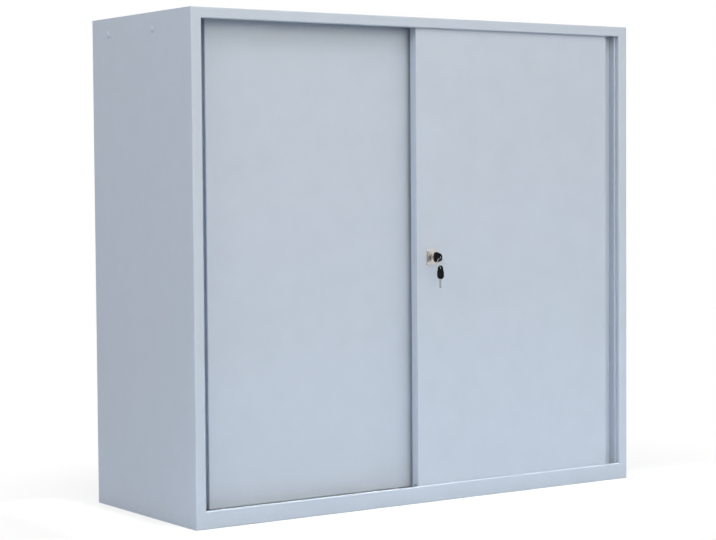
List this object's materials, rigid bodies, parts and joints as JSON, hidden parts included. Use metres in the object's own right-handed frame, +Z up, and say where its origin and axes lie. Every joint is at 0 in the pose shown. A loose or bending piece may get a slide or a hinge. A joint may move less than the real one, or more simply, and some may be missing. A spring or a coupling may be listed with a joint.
{
  "type": "sliding door cabinet",
  "caption": "Low wide folded-sheet-steel cabinet with bypass sliding doors, recessed edge grips, a key lock and adjustable shelves inside.",
  "frame": {"origin": "middle of the cabinet's footprint on the floor, on the sole of the support channel", "axes": "+Z up, the doors face -Y, +X to the right of someone who faces the doors"},
  "size_m": [1.206, 0.4876, 1.09],
  "materials": {
    "powder_coated_steel": "light grey powder coat, satin with a fine texture",
    "galvanised_steel": "zinc-coated sheet, dull",
    "nickel_plate": "satin nickel",
    "white_nylon": "moulded, matt",
    "black_plastic": "moulded, fine grain",
    "black_rubber": "matt"
  },
  "bodies": {
    "cabinet": {"left_side_panel": "powder_coated_steel", "right_side_panel": "powder_coated_steel", "top_panel": "powder_coated_steel", "top_rear_flange": "powder_coated_steel", "base_panel": "powder_coated_steel", "base_support": "powder_coated_steel", "back_panel": "powder_coated_steel", "back_rivets": "powder_coated_steel", "top_track": "galvanised_steel", "bottom_track": "galvanised_steel", "track_stops": "black_rubber", "front_left_upright": "powder_coated_steel", "rear_left_upright": "powder_coated_steel", "front_right_upright": "powder_coated_steel", "rear_right_upright": "powder_coated_steel", "upright_rivets": "powder_coated_steel", "lower_shelf": "powder_coated_steel", "lower_shelf_stiffener": "galvanised_steel", "lower_shelf_clips": "galvanised_steel", "upper_shelf": "powder_coated_steel", "upper_shelf_stiffener": "galvanised_steel", "upper_shelf_clips": "galvanised_steel"},
    "left_door": {"left_door_panel": "powder_coated_steel", "left_door_stiffener": "galvanised_steel", "left_door_guides": "white_nylon", "left_door_brackets": "galvanised_steel", "left_door_axles": "galvanised_steel", "lock_strike": "galvanised_steel"},
    "left_inner_roller": {"left_door_inner_roller": "white_nylon"},
    "left_outer_roller": {"left_door_outer_roller": "white_nylon"},
    "right_door": {"right_door_panel": "powder_coated_steel", "right_door_stiffener": "galvanised_steel", "right_door_guides": "white_nylon", "right_door_brackets": "galvanised_steel", "right_door_axles": "galvanised_steel", "lock_plate": "nickel_plate", "lock_barrel": "nickel_plate", "lock_nut": "galvanised_steel"},
    "right_inner_roller": {"right_door_inner_roller": "white_nylon"},
    "right_outer_roller": {"right_door_outer_roller": "white_nylon"},
    "lock_plug": {"lock_plug": "nickel_plate", "lock_cam": "galvanised_steel", "cam_screw": "galvanised_steel"},
    "key": {"key_blade": "nickel_plate", "key_bow": "black_plastic"},
    "key_ring": {"key_ring": "nickel_plate"},
    "spare_key": {"spare_key_blade": "nickel_plate", "spare_key_bow": "black_plastic"}
  },
  "joints": [
    {"name": "left_door_slide", "type": "slide", "parent": "cabinet", "child": "left_door", "axis": [1, 0, 0], "range_m": [0, 0.515]},
    {"name": "right_door_slide", "type": "slide", "parent": "cabinet", "child": "right_door", "axis": [1, 0, 0], "range_m": [-0.515, 0]},
    {"name": "left_inner_roller_spin", "type": "hinge", "parent": "left_door", "child": "left_inner_roller", "pos_m": [-0.05, -0.1685, 0.0393], "axis": [0, 1, 0], "continuous": true},
    {"name": "left_outer_roller_spin", "type": "hinge", "parent": "left_door", "child": "left_outer_roller", "pos_m": [-0.50375, -0.1685, 0.0393], "axis": [0, 1, 0], "continuous": true},
    {"name": "right_inner_roller_spin", "type": "hinge", "parent": "right_door", "child": "right_inner_roller", "pos_m": [0.05, -0.2035, 0.0393], "axis": [0, 1, 0], "continuous": true},
    {"name": "right_outer_roller_spin", "type": "hinge", "parent": "right_door", "child": "right_outer_roller", "pos_m": [0.50375, -0.2035, 0.0393], "axis": [0, 1, 0], "continuous": true},
    {"name": "key_turn", "type": "hinge", "parent": "right_door", "child": "lock_plug", "pos_m": [0.0195, -0.215, 0.554], "axis": [0, -1, 0], "range_deg": [0, 90]},
    {"name": "key_pull", "type": "slide", "parent": "lock_plug", "child": "key", "axis": [0, -1, 0], "range_m": [0, 0.018]},
    {"name": "ring_turn", "type": "hinge", "parent": "key", "child": "key_ring", "pos_m": [0.0195, -0.25, 0.54235], "axis": [0, -1, 0], "range_deg": [-90, 0]},
    {"name": "spare_key_swing", "type": "hinge", "parent": "key_ring", "child": "spare_key", "pos_m": [0.0195, -0.25, 0.53285], "axis": [1, 0, 0], "range_deg": [-60, 20]}
  ],
  "couplings": [
    {"joint": "left_inner_roller_spin", "follows": "left_door_slide", "rad_per_m": 111.11},
    {"joint": "left_outer_roller_spin", "follows": "left_door_slide", "rad_per_m": 111.11},
    {"joint": "right_inner_roller_spin", "follows": "right_door_slide", "rad_per_m": 111.11},
    {"joint": "right_outer_roller_spin", "follows": "right_door_slide", "rad_per_m": 111.11},
    {"joint": "ring_turn", "follows": "key_turn", "ratio": -1}
  ]
}
